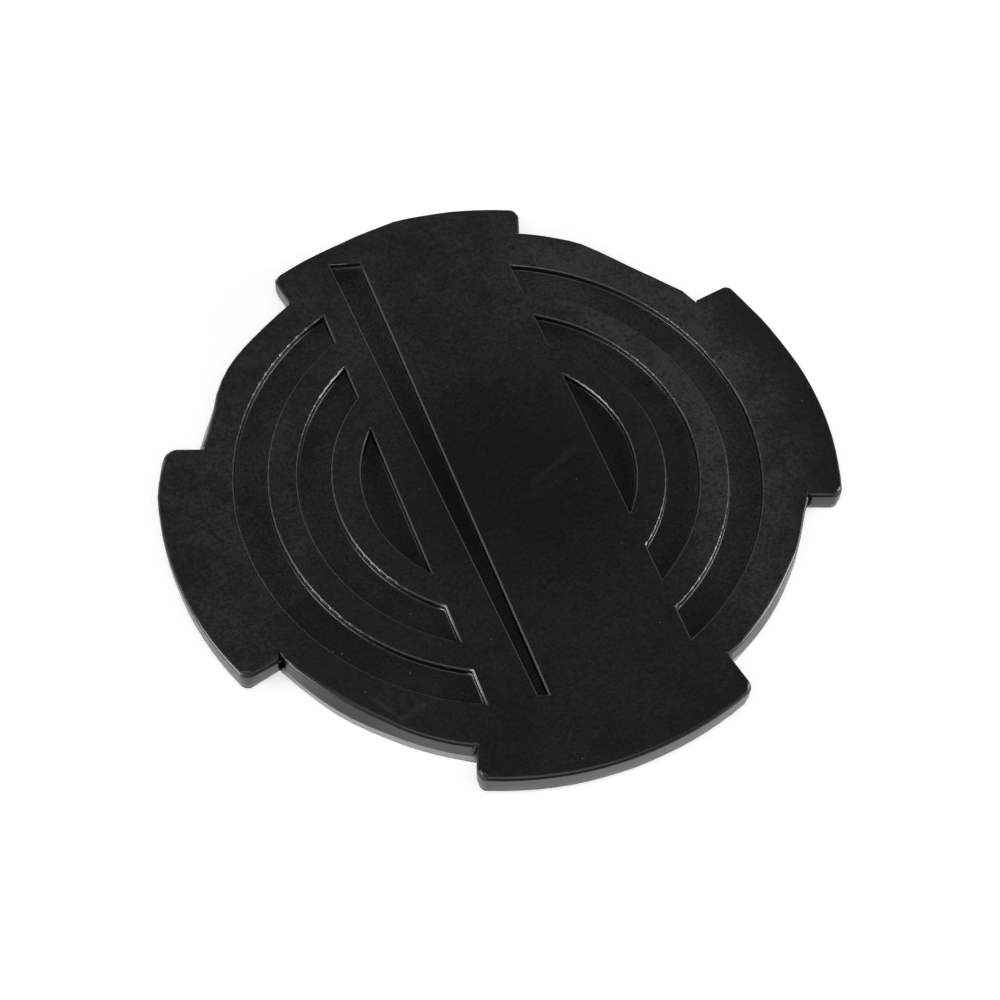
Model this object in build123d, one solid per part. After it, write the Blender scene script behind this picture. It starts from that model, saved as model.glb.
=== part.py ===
from build123d import *
import math
import os

# A round moulded rubber pad for the arm of a vehicle lift. Four tabs on the rim locate it in
# the notches of its steel cup. The top face carries a grip tread: two half sets of concentric
# grooves with a plain band between them, and one tapered slot along the band.
# Origin at the centre of the bottom face, +Z up, +Y along the band towards the wide end of
# the slot. Sizes in millimetres.

# thickness
body_height = 9.0            # bottom face to top face
tab_height = 6.4             # tab thickness, hung from the top face
parting_height = 3.8         # the mould's parting line on the rim
lower_draw = 0.7             # how far the rim draws in below the parting line
tab_parting_height = 2.2     # the same line on a tab, above its underside
tab_lower_draw = 0.5

# rim outline between the tabs; each rise is added to the radius
rim_radius = 68.2            # where a tab's trailing side leaves the rim
rim_dip_rise = 0.2           # middle of the flatter stretch after that
rim_crest_rise = 1.1         # blunt corner further on
rim_lead_rise = 1.5          # where the rim meets the next tab's leading side
rim_crest_angle = 52.4       # degrees from the tab's centre line
rim_corner_radius = 16.0     # blunting of the crest, seen from above

# tabs
tab_count = 4
tab_projection = 9.0         # tip beyond the rim
tab_lead_width = 28.9        # centre line to the leading side, at the rim
tab_trail_width = 30.0       # centre line to the trailing side, at the rim
tab_lead_flare = 19.0        # degrees off the centre line, opening outwards
tab_trail_flare = 11.5
tab_corner_radius = 2.4      # both tip corners, seen from above
tab_inset = 26.0             # how far a tab's root runs back under the rim

# outer edges
top_bevel_width = 0.7        # narrow steep bevel round the top
top_bevel_depth = 1.3
root_slit_depth = 1.3        # wedge cut into each corner between tab and rim
root_slit_mouth = 0.9        # its width at the corner

# tread
recess_depth = 1.7
tread_land = 8.3             # rim to the outer wall of the outermost groove
groove_count = 2
groove_width = 7.6
ridge_width = 6.7
band_width = 47.4            # plain band between the two half sets
recess_draft = 5.0           # degrees
recess_lip_radius = 0.4
recess_floor_bevel = 0.35    # small break where wall and floor meet

# slot in the band
slot_edge_offset = 10.4      # straight edge, measured from the band's centre line
slot_wide_width = 7.2
slot_narrow_width = 2.2
slot_wide_land = 8.6         # wide end to the tip of its tab
slot_narrow_land = 20.1      # narrow end to the tip of its tab
slot_end_skew = 15.5         # degrees, both ends cut at the same slant

pitch = 360 / tab_count
tab_tip_radius = rim_radius + tab_projection
clear_reach = 2 * tab_tip_radius


def polar(radius, angle):
    """Point in the plan, the angle taken from the +X axis."""
    a = math.radians(angle)
    return (radius * math.cos(a), radius * math.sin(a))


def tab_side(width, flare, side, radius):
    """Point where a tab's side line crosses a radius; the tab points along +X."""
    root_x = math.sqrt(rim_radius ** 2 - width ** 2)
    along_x, along_y = polar(1, flare)
    b = root_x * along_x + width * along_y
    step = math.sqrt(b ** 2 + radius ** 2 - rim_radius ** 2) - b
    return (root_x + step * along_x, side * (width + step * along_y))


def lead_point(radius):
    return tab_side(tab_lead_width, tab_lead_flare, -1, radius)


def trail_point(radius):
    return tab_side(tab_trail_width, tab_trail_flare, 1, radius)


def rim_sector(start):
    """Rim line of one pitch: a flat arc, a blunt crest, a round arc, then on under the tab."""
    lead_radius = rim_radius + rim_lead_rise
    crest_radius = rim_radius + rim_crest_rise
    root_x, root_y = trail_point(rim_radius)
    lead_x, lead_y = lead_point(lead_radius)
    root_angle = math.degrees(math.atan2(root_y, root_x))
    lead_angle = pitch + math.degrees(math.atan2(lead_y, lead_x))
    root = polar(rim_radius, start + root_angle)
    flat = polar(rim_radius + rim_dip_rise, start + (root_angle + rim_crest_angle) / 2)
    crest = polar(crest_radius, start + rim_crest_angle)
    full = polar((crest_radius + lead_radius) / 2, start + (rim_crest_angle + lead_angle) / 2)
    lead = polar(lead_radius, start + lead_angle)
    hidden = polar((lead_radius + rim_radius) / 2, start + pitch)
    next_root = polar(rim_radius, start + pitch + root_angle)
    return [
        ThreePointArc(root, flat, crest),
        ThreePointArc(crest, full, lead),
        ThreePointArc(lead, hidden, next_root),
    ]


def body_outline():
    """Closed rim line with its corners blunted, seen from above."""
    arcs = [arc for i in range(tab_count) for arc in rim_sector(i * pitch)]
    face = make_face(Curve() + arcs)
    return fillet(face.vertices(), rim_corner_radius)


def tab_outline():
    """One tab seen from above, pointing along +X, its leading side at -Y."""
    root_radius = rim_radius - tab_inset
    lead_tip = lead_point(tab_tip_radius)
    trail_tip = trail_point(tab_tip_radius)
    with BuildLine() as line:
        Line(lead_point(root_radius), lead_tip)
        ThreePointArc(lead_tip, (tab_tip_radius, 0), trail_tip)
        Line(trail_tip, trail_point(root_radius))
        Line(trail_point(root_radius), lead_point(root_radius))
    face = make_face(line.line)
    tips = face.vertices().sort_by_distance(Vertex(tab_tip_radius, 0, 0))[:2]
    return fillet(tips, tab_corner_radius)


def moulded(outline, height, parting, draw):
    """Plate that stands upright above its parting line and draws in below it."""
    plate = extrude(outline, height)
    underside = plate.faces().sort_by(Axis.Z)[0]
    return chamfer(underside.edges(), draw, parting, reference=underside)


def blank():
    """Body and tabs in one piece, all flush at the top."""
    body = moulded(body_outline(), body_height, parting_height, lower_draw)
    tab = moulded(tab_outline(), tab_height, tab_parting_height, tab_lower_draw)
    raised = Pos(0, 0, body_height - tab_height) * tab
    return body + [Rot(0, 0, i * pitch) * raised for i in range(tab_count)]


def bevel_top(part):
    """Narrow steep bevel round the whole top edge."""
    top = part.faces().sort_by(Axis.Z)[-1]
    rim = top.outer_wire().edges()
    return chamfer(rim, top_bevel_width, top_bevel_depth, reference=top)


def root_slits():
    """Narrow wedge cut into each corner between a tab and the rim, along its bisector."""
    mouth_x = root_slit_mouth
    mouth_y = root_slit_mouth * (root_slit_depth + mouth_x) / (2 * root_slit_depth)
    outline = Polyline((-root_slit_depth, 0), (mouth_x, mouth_y), (mouth_x, -mouth_y), close=True)
    wedge = extrude(make_face(outline), clear_reach)
    corners = [(trail_point(rim_radius), 1), (lead_point(rim_radius + rim_lead_rise), -1)]
    slits = []
    for i in range(tab_count):
        for (x, y), side in corners:
            bisector = math.degrees(math.atan2(y, x)) + side * pitch / 2
            slits.append(Rot(0, 0, i * pitch) * Pos(x, y, 0) * Rot(0, 0, bisector) * wedge)
    return slits


def tread_plan():
    """Grooves and inner segments in plan, with the band left plain."""
    step = groove_width + ridge_width
    tread_radius = rim_radius - tread_land
    rings = Circle(tread_radius - groove_count * step)
    for i in range(groove_count):
        outer = tread_radius - i * step
        rings += Circle(outer) - Circle(outer - groove_width)
    return rings - Rectangle(band_width, clear_reach)


def slot_plan():
    """Tapered slot: one edge parallel to the band, both ends on the same slant."""
    skew = math.tan(math.radians(slot_end_skew))
    wide_rise = skew * slot_wide_width / 2
    narrow_rise = skew * slot_narrow_width / 2
    wide_reach = tab_tip_radius - slot_wide_land
    narrow_reach = tab_tip_radius - slot_narrow_land
    points = [
        (-slot_edge_offset, -narrow_reach - narrow_rise),
        (-slot_edge_offset, wide_reach - wide_rise),
        (-slot_edge_offset - slot_wide_width, wide_reach + wide_rise),
        (-slot_edge_offset - slot_narrow_width, -narrow_reach + narrow_rise),
    ]
    return make_face(Polyline(*points, close=True))


def recess_tool(face):
    """Solid that sinks one outline into the top face, its walls drafted from the lip down."""
    tool = extrude(Pos(0, 0, body_height) * face, -recess_depth)
    walls = tool.faces() - tool.faces().filter_by(Axis.Z)
    tool = draft(walls, Plane.XY.offset(body_height), -recess_draft)
    floor = tool.faces().sort_by(Axis.Z)[0]
    return chamfer(floor.edges(), recess_floor_bevel)


def sink(part, plan):
    """Sink every outline of a plan into the top face and round the new lips."""
    for face in plan.faces():
        part -= recess_tool(face)
    mouths = part.faces().sort_by(Axis.Z)[-1].inner_wires()
    lips = []
    for face in plan.faces():
        corner = (Pos(0, 0, body_height) * face).vertices()[0]
        lips += mouths.sort_by_distance(corner)[0].edges()
    return fillet(lips, recess_lip_radius)


def jack_pad():
    """The whole pad: blank, top bevel, root slits, the grooves, then the slot."""
    part = bevel_top(blank())
    for slit in root_slits():
        part -= slit
    part = sink(part, tread_plan())
    return sink(part, slot_plan())


pad = jack_pad()
print("volume", round(pad.volume), "box", pad.bounding_box().size)
os.makedirs("parts", exist_ok=True)
export_step(pad, "parts/jack_pad.step")
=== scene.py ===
import math
import random
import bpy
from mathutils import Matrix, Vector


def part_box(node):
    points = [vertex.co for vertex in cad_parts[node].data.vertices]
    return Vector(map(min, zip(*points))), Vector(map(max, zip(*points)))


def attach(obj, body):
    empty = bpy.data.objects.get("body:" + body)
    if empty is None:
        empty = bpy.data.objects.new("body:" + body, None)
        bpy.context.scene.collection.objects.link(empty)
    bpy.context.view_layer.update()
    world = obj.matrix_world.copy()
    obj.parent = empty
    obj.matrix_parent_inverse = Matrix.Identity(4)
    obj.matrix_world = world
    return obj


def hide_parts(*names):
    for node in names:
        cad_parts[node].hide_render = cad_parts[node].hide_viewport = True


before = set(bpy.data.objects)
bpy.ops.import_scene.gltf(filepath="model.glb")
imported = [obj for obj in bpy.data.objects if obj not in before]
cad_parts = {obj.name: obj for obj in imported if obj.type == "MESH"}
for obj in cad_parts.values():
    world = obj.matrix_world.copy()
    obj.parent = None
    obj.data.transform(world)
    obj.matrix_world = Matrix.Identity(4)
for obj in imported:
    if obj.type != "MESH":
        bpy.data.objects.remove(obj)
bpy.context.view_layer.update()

from types import SimpleNamespace

import bmesh
import bpy
from bpy.props import FloatProperty, FloatVectorProperty, PointerProperty
from mathutils import Matrix, Vector, noise

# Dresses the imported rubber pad: its black rubber, the crumbs left by moulding, the stage, the
# lamps and the camera. Metres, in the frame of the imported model: +Z up, the top face at 9 mm.

bl_info = {
    "name": "Rubber jack pad dressing",
    "version": (1, 0, 0),
    "blender": (4, 5, 0),
    "location": "3D View > Sidebar > Jack pad",
    "description": "Rubber finish, moulding crumbs, stage and lamps for the rubber jack pad",
    "category": "Object",
}

PAD = "jack_pad"
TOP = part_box(PAD)[1][2]
MM = 0.001
WHITE = (1, 1, 1, 1)


class PadFinish(bpy.types.PropertyGroup):
    """Colour and surface of the moulded rubber, with painted shade on the recess walls and painted highlight
    on the lips.
    """

    rubber_colour: FloatVectorProperty(
        name="Rubber", description="Clean black rubber", subtype="COLOR",
        default=(0.004, 0.004, 0.0041), min=0, max=1)
    # Painted shade: a near-black colour laid on the recess walls below the lips, standing in for the shade
    # in the grooves.
    painted_wall_shade: FloatVectorProperty(
        name="Recess walls", description="Deep black of the walls below the lips",
        subtype="COLOR", default=(0.0008, 0.0008, 0.0008), min=0, max=1)
    # Partly real wear and partly painted highlight: the lips take this grey all round, standing in for the
    # highlight along them; specks and crumbs take it as their own grey.
    wear_and_highlight_colour: FloatVectorProperty(
        name="Worn rubber", description="Greyer rubber of worn lips, specks and crumbs",
        subtype="COLOR", default=(0.065, 0.065, 0.066), min=0, max=1)
    # Mostly real dust. Where the film is laid thicker on the far side, it is partly painted light.
    dust_colour: FloatVectorProperty(
        name="Dust", description="Thin film of pale dust on level faces", subtype="COLOR",
        default=(0.036, 0.036, 0.036), min=0, max=1)
    recess_depth: FloatProperty(
        name="Recess depth", description="Top face to groove floor", unit="LENGTH",
        default=1.7 * MM)
    lip_radius: FloatProperty(
        name="Lip radius", description="Rounding of the lips as moulded", unit="LENGTH",
        default=0.4 * MM)
    lip_depth: FloatProperty(
        name="Lip depth", description="How far down wear has broken the lips", unit="LENGTH",
        default=0.5 * MM)
    tread_radius: FloatProperty(
        name="Tread radius", description="The grooves lie inside this radius", unit="LENGTH",
        default=66 * MM)
    rim_reach: FloatProperty(
        name="Rim reach", description="The rim lies inside this radius, the tabs' tips outside",
        unit="LENGTH", default=71.3 * MM)
    parting_height: FloatProperty(
        name="Parting line", description="Height of the mould's parting line on the rim",
        unit="LENGTH", default=3.8 * MM)
    tread_crease: FloatProperty(
        name="Tread crease", description="Edges in the tread are soft up to this angle",
        subtype="ANGLE", default=math.radians(60))
    rim_crease: FloatProperty(
        name="Rim crease", description="Edges of the rim are soft up to this angle",
        subtype="ANGLE", default=math.radians(20))
    parting_crease: FloatProperty(
        name="Parting crease", description="Edges at the parting line are soft up to this angle",
        subtype="ANGLE", default=math.radians(5))


class StageSettings(bpy.types.PropertyGroup):
    """Floor, light tent and camera."""

    floor_size: FloatProperty(
        name="Floor", description="Side of the pale floor", unit="LENGTH", default=6.0)
    floor_colour: FloatVectorProperty(
        name="Floor colour", description="Plain pale floor", subtype="COLOR",
        default=(0.9, 0.9, 0.9), min=0, max=1)
    floor_lift: FloatProperty(
        name="Floor lift", description="Extra white of the floor where it is seen", default=0.5)
    world_level: FloatProperty(
        name="World level", description="Soft light from high up", default=0.035)
    back_level: FloatProperty(
        name="Back wall level", description="Light of the tent's back wall, low down", default=1.3)
    front_level: FloatProperty(
        name="Front wall level", description="Light of the tent's front wall, low down", default=0.1)
    view_azimuth: FloatProperty(
        name="View azimuth", description="Direction from the pad to the camera, seen from above",
        subtype="ANGLE", default=math.radians(246))
    camera_place: FloatVectorProperty(
        name="Camera place", description="Where the camera stands", subtype="TRANSLATION",
        default=(-0.11360452, -0.2579709, 0.42281932))
    camera_turn: FloatVectorProperty(
        name="Camera turn", description="How the camera is turned", subtype="EULER",
        default=[math.radians(angle) for angle in (33.41668, -2.09094, -20.73486)])
    lens: FloatProperty(
        name="Lens", description="Focal length in millimetres", default=79.5686)


# Node helpers

# Sockets of a mix of colours: the factor, the first colour and the second, then the result.
MIX_INPUTS = (0, 6, 7)
MIX_RESULT = 2


def place(tree, kind, inputs=None, **settings):
    """Adds a node, sets its settings, and sets or links its inputs."""
    node = tree.nodes.new(kind)
    for key, value in settings.items():
        setattr(node, key, value)
    for key, value in (inputs or {}).items():
        socket = node.inputs[key]
        if isinstance(value, bpy.types.NodeSocket):
            tree.links.new(value, socket)
        else:
            socket.default_value = value
    return node


def maths(tree, operation, first, second, clamp=False):
    """One step of arithmetic on two sockets or numbers."""
    node = place(tree, "ShaderNodeMath", {0: first, 1: second}, operation=operation, use_clamp=clamp)
    return node.outputs[0]


def times(tree, first, *others):
    """Product of two or more sockets or numbers."""
    product = first
    for other in others:
        product = maths(tree, "MULTIPLY", product, other)
    return product


def rest_of(tree, mask):
    """What a mask leaves over."""
    return maths(tree, "SUBTRACT", 1.0, mask)


def ramp(tree, value, low, high, out_low=0.0, out_high=1.0):
    """Smooth step of a value from one range to another."""
    node = place(tree, "ShaderNodeMapRange",
                 {"Value": value, "From Min": low, "From Max": high,
                  "To Min": out_low, "To Max": out_high},
                 interpolation_type="SMOOTHSTEP")
    return node.outputs["Result"]


def between(tree, mask, at_none, at_full):
    """Smooth step from one value where a mask is 0 to another where it is 1."""
    return ramp(tree, mask, 0.0, 1.0, at_none, at_full)


def as_colour(value):
    """A colour as a node takes it: a socket as it is, three numbers with an alpha of 1."""
    return value if isinstance(value, bpy.types.NodeSocket) else (*value, 1)


def blend_colour(tree, mask, first, second):
    """Colour that turns from the first to the second with a mask."""
    values = (mask, as_colour(first), as_colour(second))
    node = place(tree, "ShaderNodeMix", dict(zip(MIX_INPUTS, values)), data_type="RGBA")
    return node.outputs[MIX_RESULT]


def noise_value(tree, vector, scale, detail, rough):
    """Plain noise between 0 and 1; the scale is in waves for each metre."""
    node = place(tree, "ShaderNodeTexNoise",
                 {"Vector": vector, "Scale": scale, "Detail": detail, "Roughness": rough})
    return node.outputs["Fac"]


def along_azimuth(tree, vector, azimuth):
    """How far a point lies out towards an azimuth."""
    way = (math.cos(azimuth), math.sin(azimuth), 0)
    node = place(tree, "ShaderNodeVectorMath", {0: vector, 1: way}, operation="DOT_PRODUCT")
    return node.outputs["Value"]


def new_group(name, inputs, outputs):
    """Empty shader node group with named sockets; returns the tree and its two end nodes."""
    tree = bpy.data.node_groups.new(name, "ShaderNodeTree")
    for label, kind, default in inputs:
        socket = tree.interface.new_socket(label, in_out="INPUT", socket_type=kind)
        if default is not None:
            socket.default_value = default
    for label in outputs:
        tree.interface.new_socket(label, in_out="OUTPUT", socket_type="NodeSocketFloat")
    return tree, tree.nodes.new("NodeGroupInput"), tree.nodes.new("NodeGroupOutput")


def grouped(tree, group, inputs):
    """Places a node group with its inputs set."""
    return place(tree, "ShaderNodeGroup", inputs, node_tree=group)


def new_material(name):
    """Material with a principled shader alone."""
    material = bpy.data.materials.new(name)
    material.use_nodes = True
    tree = material.node_tree
    tree.nodes.clear()
    shader = tree.nodes.new("ShaderNodeBsdfPrincipled")
    output = tree.nodes.new("ShaderNodeOutputMaterial")
    tree.links.new(shader.outputs[0], output.inputs["Surface"])
    return material, tree, shader


# Node groups of the rubber


def grain_group():
    """Grain of moulded rubber: height of its tooth and ripple, fine tone and cloudy patches."""
    tree, given, result = new_group(
        "rubber_grain",
        [("Vector", "NodeSocketVector", None), ("Tooth", "NodeSocketFloat", 1.0),
         ("Ripple", "NodeSocketFloat", 1.0)],
        ["Height", "Tone", "Patch"])
    where = given.outputs["Vector"]
    tooth = noise_value(tree, where, scale=2600, detail=2, rough=0.6)
    orange_peel = noise_value(tree, where, scale=620, detail=2, rough=0.5)
    ripple = noise_value(tree, where, scale=90, detail=2, rough=0.5)
    tone = noise_value(tree, where, scale=1500, detail=3, rough=0.75)
    patch = noise_value(tree, where, scale=60, detail=6, rough=0.7)
    fine = times(tree, maths(tree, "ADD", tooth, orange_peel), given.outputs["Tooth"])
    slow = times(tree, ripple, given.outputs["Ripple"])
    tree.links.new(maths(tree, "ADD", fine, slow), result.inputs["Height"])
    tree.links.new(ramp(tree, tone, low=0.25, high=0.75), result.inputs["Tone"])
    tree.links.new(ramp(tree, patch, low=0.32, high=0.68), result.inputs["Patch"])
    return tree


def speck_group():
    """Scattered small round specks, as a mask."""
    tree, given, result = new_group(
        "rubber_specks",
        [("Vector", "NodeSocketVector", None), ("Scale", "NodeSocketFloat", 300.0),
         ("Share", "NodeSocketFloat", 0.1)],
        ["Mask"])
    cells = place(tree, "ShaderNodeTexVoronoi",
                  {"Vector": given.outputs["Vector"], "Scale": given.outputs["Scale"],
                   "Randomness": 1.0}, feature="F1")
    chances = place(tree, "ShaderNodeSeparateColor", {0: cells.outputs["Color"]}).outputs
    chosen = maths(tree, "LESS_THAN", chances[0], given.outputs["Share"])
    size = between(tree, chances[1], at_none=0.06, at_full=0.16)
    dot = maths(tree, "LESS_THAN", cells.outputs["Distance"], size)
    tree.links.new(times(tree, chosen, dot), result.inputs["Mask"])
    return tree


def scuff_group():
    """Soft streak along a short run from a starting point, as a mask."""
    tree, given, result = new_group(
        "rubber_scuff",
        [("Vector", "NodeSocketVector", None), ("Start", "NodeSocketVector", None),
         ("Run", "NodeSocketVector", None), ("Width", "NodeSocketFloat", MM)],
        ["Mask"])
    run = given.outputs["Run"]
    away = place(tree, "ShaderNodeVectorMath",
                 {0: given.outputs["Vector"], 1: given.outputs["Start"]}, operation="SUBTRACT")
    along = place(tree, "ShaderNodeVectorMath", {0: away.outputs[0], 1: run}, operation="DOT_PRODUCT")
    whole = place(tree, "ShaderNodeVectorMath", {0: run, 1: run}, operation="DOT_PRODUCT")
    share = maths(tree, "DIVIDE", along.outputs["Value"], whole.outputs["Value"], clamp=True)
    foot = place(tree, "ShaderNodeVectorMath", {0: run, "Scale": share}, operation="SCALE")
    gap = place(tree, "ShaderNodeVectorMath", {0: away.outputs[0], 1: foot.outputs[0]},
                operation="DISTANCE")
    ragged = times(tree, noise_value(tree, given.outputs["Vector"], scale=500, detail=3, rough=0.6), 1.6)
    near = maths(tree, "DIVIDE", gap.outputs["Value"], given.outputs["Width"])
    faded = ramp(tree, maths(tree, "ADD", near, ragged), low=0.6, high=1.7, out_low=1.0, out_high=0.0)
    tree.links.new(faded, result.inputs["Mask"])
    return tree


GROUP_MAKERS = {"rubber_grain": grain_group, "rubber_specks": speck_group, "rubber_scuff": scuff_group}


def shader_group(name):
    """A node group of the rubber, made when it is first wanted."""
    return bpy.data.node_groups.get(name) or GROUP_MAKERS[name]()


# Materials

# Where the shiny skin of the rim lies, and towards which the dust film thickens, seen from above. The
# thicker dust on that side is partly painted light that makes that side of the pad lighter.
SKIN_AZIMUTH = math.radians(262)
DUST_AND_LIT_SIDE_AZIMUTH = math.radians(115)
# Streaks of dust on the top face: start and run in millimetres, width in millimetres, weight.
SCUFFS = (
    ((6, -6), (12, 6), 2.0, 0.22),
    ((4, -9), (9, 3), 2.2, 0.12),
    ((-45.5, -46.5), (3.5, -6), 1.2, 0.5),
    ((-42, -52.5), (6, 1.5), 1.2, 0.4),
)


def pad_spot(tree):
    """Sockets that say where a point of the pad lies and how level its surface is."""
    where = tree.nodes.new("ShaderNodeTexCoord").outputs["Object"]
    normal = tree.nodes.new("ShaderNodeNewGeometry").outputs["Normal"]
    parts = place(tree, "ShaderNodeSeparateXYZ", {0: where}).outputs
    plan = place(tree, "ShaderNodeCombineXYZ", {0: parts["X"], 1: parts["Y"]}).outputs[0]
    reach = place(tree, "ShaderNodeVectorMath", {0: plan}, operation="LENGTH").outputs["Value"]
    tilt = place(tree, "ShaderNodeSeparateXYZ", {0: normal}).outputs["Z"]
    return SimpleNamespace(where=where, plan=plan, x=parts["X"], height=parts["Z"], reach=reach, tilt=tilt)


def pad_regions(tree, spot, finish):
    """Masks of level faces, recess floors, lips, recess walls and all slopes of the tread."""
    level = ramp(tree, spot.tilt, low=0.8, high=0.98)
    inside = maths(tree, "LESS_THAN", spot.reach, finish.tread_radius)
    floor_height = TOP - finish.recess_depth
    sunk = ramp(tree, spot.height, low=TOP - 0.5 * MM, high=floor_height + 0.2 * MM)
    at_top = ramp(tree, spot.height, low=TOP - 0.2 * MM, high=TOP - 0.05 * MM)
    near_top = ramp(tree, spot.height, low=TOP - 1.3 * finish.lip_depth, high=TOP - 0.8 * finish.lip_depth)
    below_lip = ramp(tree, spot.height, low=TOP - 0.5 * MM, high=TOP - 0.25 * MM, out_low=1.0, out_high=0.0)
    upright = ramp(tree, spot.tilt, low=0.3, high=0.75, out_low=1.0, out_high=0.0)
    beside_face = rest_of(tree, times(tree, level, at_top))
    return SimpleNamespace(
        level=level,
        floor=times(tree, level, sunk, inside),
        lip=times(tree, near_top, beside_face, between(tree, inside, at_none=0.1, at_full=1.0)),
        # Recess walls below the lips: this mask places the painted shade.
        wall=times(tree, inside, upright, below_lip),
        slope=times(tree, inside, rest_of(tree, level)),
    )


def dust_spread(tree, spot, regions, patch):
    """Thickness of the dust: thin in the middle, thicker outwards and on the right-hand ridges, and thicker
    towards the far side, where it partly paints that side lighter.
    """
    wavy_reach = maths(tree, "ADD", spot.reach, times(tree, patch, -20 * MM))
    outer = ramp(tree, wavy_reach, low=-2 * MM, high=34 * MM, out_low=0.3)
    ring = times(tree, ramp(tree, spot.reach, low=35 * MM, high=50 * MM),
                 ramp(tree, spot.reach, low=60 * MM, high=76 * MM, out_low=1.0, out_high=0.0))
    right = ramp(tree, spot.x, low=20 * MM, high=50 * MM)
    drift = times(tree, ring, right, between(tree, regions.floor, at_none=3.0, at_full=1.1))
    # Partly painted light: the dust is laid nearly three times thicker on the far side than on the near
    # side, so the far side reads lighter.
    away = along_azimuth(tree, spot.plan, DUST_AND_LIT_SIDE_AZIMUTH)
    side = ramp(tree, away, low=-60 * MM, high=60 * MM, out_low=0.55, out_high=1.5)
    return times(tree, outer, maths(tree, "ADD", 1.0, drift), side)


def dust_film(tree, spread, regions, grain):
    """Mask of the dust: mottled, and heavier on the recess floors than on the top face."""
    mottled = times(tree, between(tree, grain["Tone"], at_none=0.2, at_full=1.2),
                    between(tree, grain["Patch"], at_none=0.5, at_full=1.2))
    settled = times(tree, regions.level, between(tree, regions.floor, at_none=0.4, at_full=0.66))
    return times(tree, mottled, spread, settled)


def streaked(tree, colour, spot, regions, finish):
    """Colour with the streaks of dust laid over it."""
    for start, run, width, weight in SCUFFS:
        streak = grouped(tree, shader_group("rubber_scuff"),
                         {"Vector": spot.plan, "Start": Vector((*start, 0)) * MM,
                          "Run": Vector((*run, 0)) * MM, "Width": width * MM})
        shade = times(tree, streak.outputs["Mask"], weight, regions.level)
        colour = blend_colour(tree, shade, colour, finish.dust_colour)
    return colour


def rim_skin(tree, spot, finish):
    """Mask of the shinier skin below the parting line, on the rim's side towards the viewer."""
    low = maths(tree, "LESS_THAN", spot.height, finish.parting_height)
    on_rim = maths(tree, "LESS_THAN", spot.reach, finish.rim_reach)
    toward = along_azimuth(tree, spot.plan, SKIN_AZIMUTH)
    return times(tree, low, on_rim, ramp(tree, toward, low=25 * MM, high=60 * MM, out_high=0.55))


def rubber_relief(tree, grain, pits, regions):
    """Height of the grain and the pits, calmer on steep faces and calmest in the tread."""
    relief = maths(tree, "SUBTRACT", grain["Height"], times(tree, pits, 0.8))
    calm = between(tree, regions.level, at_none=0.12, at_full=1.0)
    return times(tree, relief, calm, between(tree, regions.slope, at_none=1.0, at_full=0.2))


def rubber_material(finish):
    """Black moulded rubber: dull dusty faces, greyer lips that are partly worn and partly painted highlight,
    and recess walls painted near-black as painted shade.
    """
    material, tree, shader = new_material("black_rubber")
    spot = pad_spot(tree)
    regions = pad_regions(tree, spot, finish)
    specks = shader_group("rubber_specks")
    grain = grouped(tree, shader_group("rubber_grain"),
                    {"Vector": spot.where, "Tooth": 0.35, "Ripple": 1.2}).outputs
    pits = grouped(tree, specks, {"Vector": spot.where, "Scale": 230.0, "Share": 0.1}).outputs["Mask"]
    motes = grouped(tree, specks, {"Vector": spot.where, "Scale": 640.0, "Share": 0.02}).outputs["Mask"]

    spread = dust_spread(tree, spot, regions, grain["Patch"])
    dust = dust_film(tree, spread, regions, grain)
    # Lips: grey that is partly wear and partly painted highlight, laid all round the recesses.
    worn = times(tree, regions.lip, between(tree, grain["Tone"], at_none=0.6, at_full=0.75))
    colour = blend_colour(tree, dust, finish.rubber_colour, finish.dust_colour)
    colour = streaked(tree, colour, spot, regions, finish)
    colour = blend_colour(tree, worn, colour, finish.wear_and_highlight_colour)
    colour = blend_colour(tree, times(tree, motes, regions.level), colour, finish.wear_and_highlight_colour)
    # Painted shade: the recess walls below the lips take the near-black colour.
    colour = blend_colour(tree, regions.wall, colour, finish.painted_wall_shade)
    tree.links.new(colour, shader.inputs["Base Color"])

    rough = between(tree, grain["Tone"], at_none=0.28, at_full=0.32)
    dulled = times(tree, regions.level, between(tree, spread, at_none=0.04, at_full=0.12))
    tree.links.new(maths(tree, "ADD", rough, dulled), shader.inputs["Roughness"])
    tree.links.new(rim_skin(tree, spot, finish), shader.inputs["Coat Weight"])
    shader.inputs["Coat Roughness"].default_value = 0.2
    shader.inputs["Coat IOR"].default_value = 1.7
    shader.inputs["IOR"].default_value = 1.52
    relief = rubber_relief(tree, grain, pits, regions)
    bump = place(tree, "ShaderNodeBump", {"Strength": 0.35, "Distance": 0.06 * MM, "Height": relief})
    tree.links.new(bump.outputs["Normal"], shader.inputs["Normal"])
    return material


def crumb_material(finish):
    """Torn crumbs and nibs of the same rubber, greyer and rougher than the moulded skin."""
    material, tree, shader = new_material("torn_rubber")
    where = tree.nodes.new("ShaderNodeTexCoord").outputs["Object"]
    grain = grouped(tree, shader_group("rubber_grain"),
                    {"Vector": where, "Tooth": 1.0, "Ripple": 0.3}).outputs
    motes = grouped(tree, shader_group("rubber_specks"),
                    {"Vector": where, "Scale": 900.0, "Share": 0.2}).outputs["Mask"]
    colour = blend_colour(tree, grain["Tone"], finish.rubber_colour, finish.wear_and_highlight_colour)
    colour = blend_colour(tree, times(tree, motes, 0.6), colour, finish.dust_colour)
    tree.links.new(colour, shader.inputs["Base Color"])
    tree.links.new(between(tree, grain["Tone"], at_none=0.55, at_full=0.75), shader.inputs["Roughness"])
    shader.inputs["IOR"].default_value = 1.5
    bump = place(tree, "ShaderNodeBump",
                 {"Strength": 0.5, "Distance": 0.08 * MM, "Height": grain["Height"]})
    tree.links.new(bump.outputs["Normal"], shader.inputs["Normal"])
    return material


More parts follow.
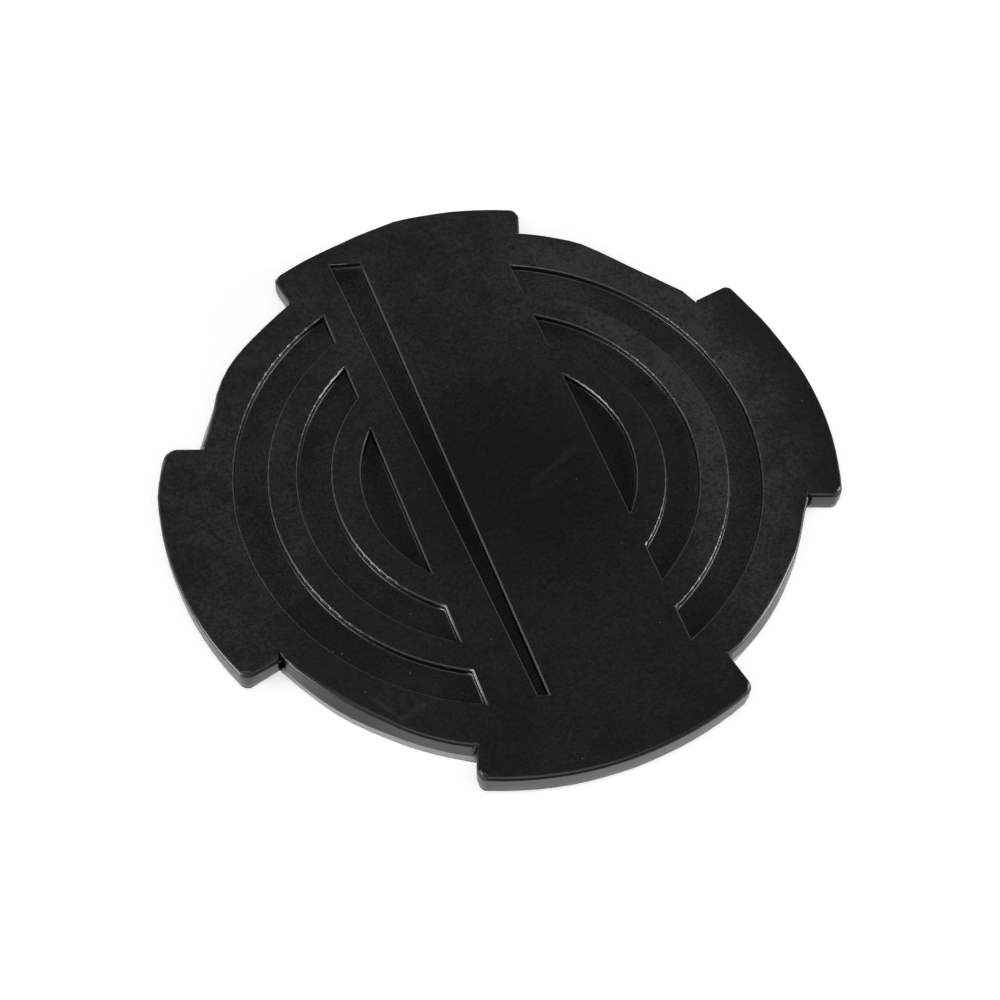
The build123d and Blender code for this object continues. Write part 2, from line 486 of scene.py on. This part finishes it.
def floor_material(settings):
    """Plain pale floor, white to the camera apart from the pad's own soft shadow."""
    material, tree, shader = new_material("pale_floor")
    shader.inputs["Base Color"].default_value = (*settings.floor_colour, 1)
    shader.inputs["Roughness"].default_value = 0.9
    shader.inputs["Specular IOR Level"].default_value = 0.0
    path = tree.nodes.new("ShaderNodeLightPath").outputs
    seen = maths(tree, "MAXIMUM", path["Is Camera Ray"], path["Is Glossy Ray"])
    shader.inputs["Emission Color"].default_value = WHITE
    tree.links.new(times(tree, seen, settings.floor_lift), shader.inputs["Emission Strength"])
    return material


# Pieces

# How this pad's rim strays from the plan: azimuth in degrees, outward and sideways in millimetres.
RIM_DRIFT = (
    (0, 0.75, 0.2), (10, 0.5, 0.3), (18, 0.7, 0.4), (23, 1.2, 0.4), (27, 1.0, 0.5),
    (28.5, 1.7, 0.3), (31, 1.3, 0.2), (40, 0.9, 0.0), (54, 1.3, 0.0), (64, 1.0, 0.2),
    (68, 0.6, 0.2), (88, 0.5, 0.0), (94, -0.3, 0.0), (100, -0.8, 0.0), (112, -0.6, -0.3),
    (117, 0.5, -0.3), (130, 0.8, 0.0), (140, 0.0, 0.0), (146, -0.7, 0.2), (152, -0.8, 0.5),
    (157, -0.2, 0.5), (180, -0.4, 0.0), (204, -0.3, 0.5), (209, -0.1, 0.0), (220, 0.25, 0.0),
    (231, -0.1, 0.1), (243, 0.3, 0.4), (280, -0.15, 0.0), (295, 0.0, 0.2), (300, 0.55, 0.1),
    (307, 0.8, 0.0), (330, 0.05, 0.2), (336, 0.9, 0.2),
)
# The stray begins outside the grooves and is full at the rim; past the slot's wide end it begins later.
SLOT_MIDDLE = -14 * MM
SLOT_HALF = 5 * MM
SLOT_END = 69 * MM
DRIFT_BAND = (61 * MM, 67 * MM)
DRIFT_BAND_PAST_SLOT = (SLOT_END, 75 * MM)
# Stretches where the top edge of the rim is planed off: first and last azimuth, depth in millimetres.
PLANED = ((27, 54, 0.7), (117, 136, 0.5), (138, 164, 2.0), (207, 234, 1.0), (297, 324, 0.8))
PLANED_FOOT = 4 * MM
PLANED_RISE = 5 * MM
# The tabs' lower edges stand out a little.
TAB_WALL = 73 * MM
TAB_FOOT = 2.7 * MM
TAB_FOOT_SHIFT = 0.25 * MM
# Dents at the root slits: x, y, reach, shift in x and shift in y, in millimetres.
DENTS = (
    (-60.8, -28.8, 1.6, -0.7, 1.1),
    (-62.6, -30.2, 1.6, -0.9, -0.2),
    (-60.2, -31.3, 1.5, 0.7, -0.3),
    (-28.2, -62.1, 1.2, -0.55, -1.2),
    (62.0, -28.6, 1.6, -0.5, 0.8),
)
# Unevenness of the wall: its seed, its waves for each metre and its greatest reach.
WANDER_SEED = 3
WANDER_SCALE = 160
WANDER_REACH = 0.08 * MM
# Vertices closer than MERGE_GAP are joined. An edge within LINE_GAP of a height runs along it. A
# face is level when its normal rises by more than LEVEL_FACE.
MERGE_GAP = 0.004 * MM
LINE_GAP = 0.2 * MM
LEVEL_FACE = 0.999
# The layer that tells the shading modifier how much weight each face has.
FACE_WEIGHT_LAYER = "__mod_weightednormals_faceweight"


def finish_mesh(name, mesh, material):
    """Turns a bmesh into an object at the origin with smooth faces."""
    bmesh.ops.recalc_face_normals(mesh, faces=mesh.faces)
    for face in mesh.faces:
        face.smooth = True
    data = bpy.data.meshes.new(name)
    mesh.to_mesh(data)
    mesh.free()
    data.materials.append(material)
    piece = bpy.data.objects.new(name, data)
    bpy.context.scene.collection.objects.link(piece)
    return piece


def smooth_step(value, low, high):
    """Eased share, from 0 to 1, of the way from low to high."""
    t = min(1.0, max(0.0, (value - low) / (high - low)))
    return t * t * (3 - 2 * t)


def rim_drift(azimuth):
    """Outward and sideways stray of the rim at an azimuth, eased between the rows."""
    rows = RIM_DRIFT + ((RIM_DRIFT[0][0] + 360, *RIM_DRIFT[0][1:]),)
    for first, second in zip(rows, rows[1:]):
        if azimuth <= second[0]:
            break
    t = smooth_step(azimuth, first[0], second[0])
    return tuple((a + (b - a) * t) * MM for a, b in zip(first[1:], second[1:]))


def planed_depth(azimuth, height):
    """How far the rim is planed back at a place: nothing at the ends and foot of a stretch."""
    rise = max(0.0, (height - PLANED_FOOT) / PLANED_RISE)
    for first, last, depth in PLANED:
        if first < azimuth < last:
            return depth * MM * rise * math.sin(math.pi * (azimuth - first) / (last - first))
    return 0.0


def in_slot_strip(co):
    """Whether a point lies in the strip of the slot's wide half, in the recess or beyond it."""
    return abs(co.x - SLOT_MIDDLE) < SLOT_HALF and co.y > 0


def strayed(co):
    """New place of a point of the planned pad on this pad, its height kept."""
    reach = co.xy.length
    if reach < DRIFT_BAND[0]:
        return co
    azimuth = math.degrees(math.atan2(co.y, co.x)) % 360
    outward, sideways = rim_drift(azimuth)
    if reach > TAB_WALL and co.z < TAB_FOOT:
        outward += TAB_FOOT_SHIFT
    outward -= planed_depth(azimuth, co.z)
    share = smooth_step(reach, *(DRIFT_BAND_PAST_SLOT if in_slot_strip(co) else DRIFT_BAND))
    out = co.xy.normalized()
    side = Vector((-out.y, out.x))
    flat = co.xy + (out * outward + side * sideways) * share
    for x, y, near, shift_x, shift_y in DENTS:
        gap = (co.xy / MM - Vector((x, y))).length
        flat += Vector((shift_x, shift_y)) * MM * (1 - smooth_step(gap, 0, near))
    return Vector((*flat, co.z))


def softened_lip(co, finish):
    """Height of a point of a recess's rounded lip once wear has broken the lip to a slope."""
    depth = (TOP - co.z) / finish.lip_radius
    reach = co.xy.length
    in_slot = in_slot_strip(co) and co.y < SLOT_END
    if (reach <= finish.tread_radius or in_slot) and 0 < depth <= 1:
        return TOP - finish.lip_depth * math.sqrt(1 - (1 - depth) ** 2)
    return co.z


def wander(co):
    """Small uneven shift of the outer wall at a point."""
    shift = noise.noise_vector(co * WANDER_SCALE) * WANDER_REACH
    shift *= smooth_step(co.xy.length, *DRIFT_BAND)
    return Vector((shift.x, shift.y, 0))


def crease_limit(edge, finish):
    """Angle past which an edge is a crease: soft in the tread and at the top, crisp at the parting line."""
    middle = (edge.verts[0].co + edge.verts[1].co) / 2
    if middle.xy.length < finish.tread_radius:
        return finish.tread_crease
    if abs(middle.z - finish.parting_height) < LINE_GAP:
        return finish.parting_crease
    if TOP - middle.z < LINE_GAP:
        return math.pi
    return finish.rim_crease


def shade_evenly(piece):
    """Lets the level faces rule the shading round them, up to the creases."""
    shading = piece.modifiers.new("even_shading", "WEIGHTED_NORMAL")
    shading.keep_sharp = True
    shading.use_face_influence = True


def worn_pad(finish, material):
    """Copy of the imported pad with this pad's own rim, lips and root slits."""
    mesh = bmesh.new()
    mesh.from_mesh(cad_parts[PAD].data)
    bmesh.ops.remove_doubles(mesh, verts=mesh.verts, dist=MERGE_GAP)
    noise.seed_set(WANDER_SEED)
    for vertex in mesh.verts:
        vertex.co.z = softened_lip(vertex.co, finish)
        vertex.co = strayed(vertex.co) + wander(vertex.co)
    for edge in mesh.edges:
        edge.smooth = edge.calc_face_angle(0.0) < crease_limit(edge, finish)
    weight = mesh.faces.layers.int.new(FACE_WEIGHT_LAYER)
    for face in mesh.faces:
        face[weight] = int(abs(face.normal.z) > LEVEL_FACE)
    piece = finish_mesh("moulded_pad", mesh, material)
    shade_evenly(piece)
    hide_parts(PAD)
    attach(piece, "root")
    return piece


# Crumbs: x, y and z of the middle and the size, in millimetres.
CRUMBS = (
    (46.8, -23.4, 8.6, 0.9), (41.5, -31.7, 8.6, 0.9), (-32.2, -21.3, 8.6, 0.7),
    (-50.2, -32.3, 8.95, 0.45), (-48.6, -33.4, 8.95, 0.4), (-51.3, -31.0, 8.95, 0.35),
    (-47.6, -35.4, 8.95, 0.3), (-36.2, -42.0, 7.5, 0.5), (-61.6, -30.6, 8.5, 0.5),
    (62.5, -29.0, 7.0, 0.5),
)
CRUMB_SEED = 7
# Ranges of a crumb's width and height, as shares of its length, and of its lean in radians.
CRUMB_WIDTH = (0.6, 0.9)
CRUMB_HEIGHT = (0.45, 0.7)
CRUMB_LEAN = (-0.5, 0.5)
# Depth of its dents as a share, their waves, and the step in the noise from crumb to crumb.
CRUMB_DENT = 0.35
CRUMB_WAVES = 2.4
CRUMB_NOISE_STEP = 90


def crumb(mesh, rng, middle, size):
    """One small torn lump, flattened and dented at random."""
    made = bmesh.ops.create_icosphere(mesh, subdivisions=2, radius=size / 2)
    stretch = Matrix.Diagonal((1.0, rng.uniform(*CRUMB_WIDTH), rng.uniform(*CRUMB_HEIGHT), 1.0))
    turn = Matrix.Rotation(rng.uniform(0, math.tau), 4, "Z")
    lean = Matrix.Rotation(rng.uniform(*CRUMB_LEAN), 4, "X")
    for vertex in made["verts"]:
        dent = noise.noise(vertex.co / size * CRUMB_WAVES + middle * CRUMB_NOISE_STEP)
        vertex.co *= 1 + CRUMB_DENT * dent
    whole = Matrix.Translation(middle) @ turn @ lean @ stretch
    bmesh.ops.transform(mesh, matrix=whole, verts=made["verts"])


# Stage

# Soft boxes: name, azimuth and elevation in degrees, distance, width and height in metres, watts.
LAMPS = (
    ("overhead_box", 246, 62, 1.0, 1.0, 0.7, 3.6),
    ("left_box", 179, 16, 0.9, 0.4, 0.3, 5.5),
    ("right_box", 343, 16, 0.9, 0.45, 0.3, 6.0),
)
# Width of the camera's sensor in millimetres, and the near and far ends of its view in metres.
SENSOR_WIDTH = 36
CLIP_RANGE = (0.01, 50)


def add_lamp(name, azimuth, elevation, distance, width, height, watts):
    """Soft box aimed at the pad from a direction."""
    light = bpy.data.lights.new(name, "AREA")
    light.shape = "RECTANGLE"
    light.size = width
    light.size_y = height
    light.energy = watts
    lamp = bpy.data.objects.new(name, light)
    a = math.radians(azimuth)
    e = math.radians(elevation)
    away = Vector((math.cos(e) * math.cos(a), math.cos(e) * math.sin(a), math.sin(e)))
    lamp.location = away * distance
    lamp.rotation_euler = away.to_track_quat("Z", "Y").to_euler()
    bpy.context.scene.collection.objects.link(lamp)


def set_world(settings):
    """Light tent: pale walls low down, dimmer above, white where the camera sees past the floor."""
    world = bpy.data.worlds.new("tent")
    world.use_nodes = True
    tree = world.node_tree
    tree.nodes.clear()
    direction = tree.nodes.new("ShaderNodeTexCoord").outputs["Generated"]
    rise = place(tree, "ShaderNodeSeparateXYZ", {0: direction}).outputs["Z"]
    toward = along_azimuth(tree, direction, settings.view_azimuth)
    foot = ramp(tree, toward, low=0.3, high=0.95, out_low=settings.back_level, out_high=settings.front_level)
    wall = ramp(tree, rise, low=0.1, high=0.5, out_low=foot, out_high=settings.world_level)
    path = tree.nodes.new("ShaderNodeLightPath").outputs
    strength = maths(tree, "MAXIMUM", path["Is Camera Ray"], wall)
    background = place(tree, "ShaderNodeBackground", {"Color": WHITE, "Strength": strength})
    output = tree.nodes.new("ShaderNodeOutputWorld")
    tree.links.new(background.outputs[0], output.inputs["Surface"])
    bpy.context.scene.world = world


def add_camera(settings):
    """Camera at the photograph's viewing angle."""
    camera = bpy.data.cameras.new("camera")
    camera.lens = settings.lens
    camera.sensor_width = SENSOR_WIDTH
    camera.clip_start, camera.clip_end = CLIP_RANGE
    holder = bpy.data.objects.new("camera", camera)
    holder.location = settings.camera_place
    holder.rotation_euler = settings.camera_turn
    bpy.context.scene.collection.objects.link(holder)
    bpy.context.scene.camera = holder


# Steps


class JACKPAD_OT_rubber(bpy.types.Operator):
    """Makes this pad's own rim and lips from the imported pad, in black moulded rubber."""

    bl_idname = "jackpad.rubber"
    bl_label = "Moulded pad"

    def execute(self, context):
        finish = context.scene.pad_finish
        worn_pad(finish, rubber_material(finish))
        return {"FINISHED"}


class JACKPAD_OT_crumbs(bpy.types.Operator):
    """Adds the nibs and crumbs that moulding left on lips, in grooves and in corners."""

    bl_idname = "jackpad.crumbs"
    bl_label = "Moulding crumbs"

    def execute(self, context):
        rng = random.Random(CRUMB_SEED)
        mesh = bmesh.new()
        for x, y, z, size in CRUMBS:
            crumb(mesh, rng, Vector((x, y, z)) * MM, size * MM)
        piece = finish_mesh("moulding_crumbs", mesh, crumb_material(context.scene.pad_finish))
        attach(piece, "root")
        return {"FINISHED"}


class JACKPAD_OT_stage(bpy.types.Operator):
    """Adds the floor, the lamps, the world and the camera."""

    bl_idname = "jackpad.stage"
    bl_label = "Stage, lamps and camera"

    def execute(self, context):
        settings = context.scene.pad_stage
        mesh = bmesh.new()
        bmesh.ops.create_grid(mesh, x_segments=2, y_segments=2, size=settings.floor_size / 2)
        floor = finish_mesh("floor", mesh, floor_material(settings))
        for lamp in LAMPS:
            add_lamp(*lamp)
        set_world(settings)
        add_camera(settings)
        context.scene.view_settings.view_transform = "Standard"
        return {"FINISHED"}


class JACKPAD_PT_sidebar(bpy.types.Panel):
    """Lists the pad's steps and settings."""

    bl_label = "Jack pad"
    bl_idname = "JACKPAD_PT_sidebar"
    bl_space_type = "VIEW_3D"
    bl_region_type = "UI"
    bl_category = "Jack pad"

    def draw(self, context):
        for step in STEPS:
            self.layout.operator(step.bl_idname)
        for settings in (context.scene.pad_finish, context.scene.pad_stage):
            for name in settings.__annotations__:
                self.layout.prop(settings, name)


STEPS = (JACKPAD_OT_rubber, JACKPAD_OT_crumbs, JACKPAD_OT_stage)
CLASSES = (PadFinish, StageSettings, *STEPS, JACKPAD_PT_sidebar)


def register():
    """Registers the classes and gives the scene its settings."""
    for kind in CLASSES:
        bpy.utils.register_class(kind)
    bpy.types.Scene.pad_finish = PointerProperty(type=PadFinish)
    bpy.types.Scene.pad_stage = PointerProperty(type=StageSettings)


def unregister():
    """Takes the settings and the classes away again."""
    del bpy.types.Scene.pad_finish
    del bpy.types.Scene.pad_stage
    for kind in reversed(CLASSES):
        bpy.utils.unregister_class(kind)


def main():
    """Makes the pieces and the stage."""
    register()
    bpy.ops.jackpad.rubber()
    bpy.ops.jackpad.crumbs()
    bpy.ops.jackpad.stage()


if __name__ == "__main__":
    main()
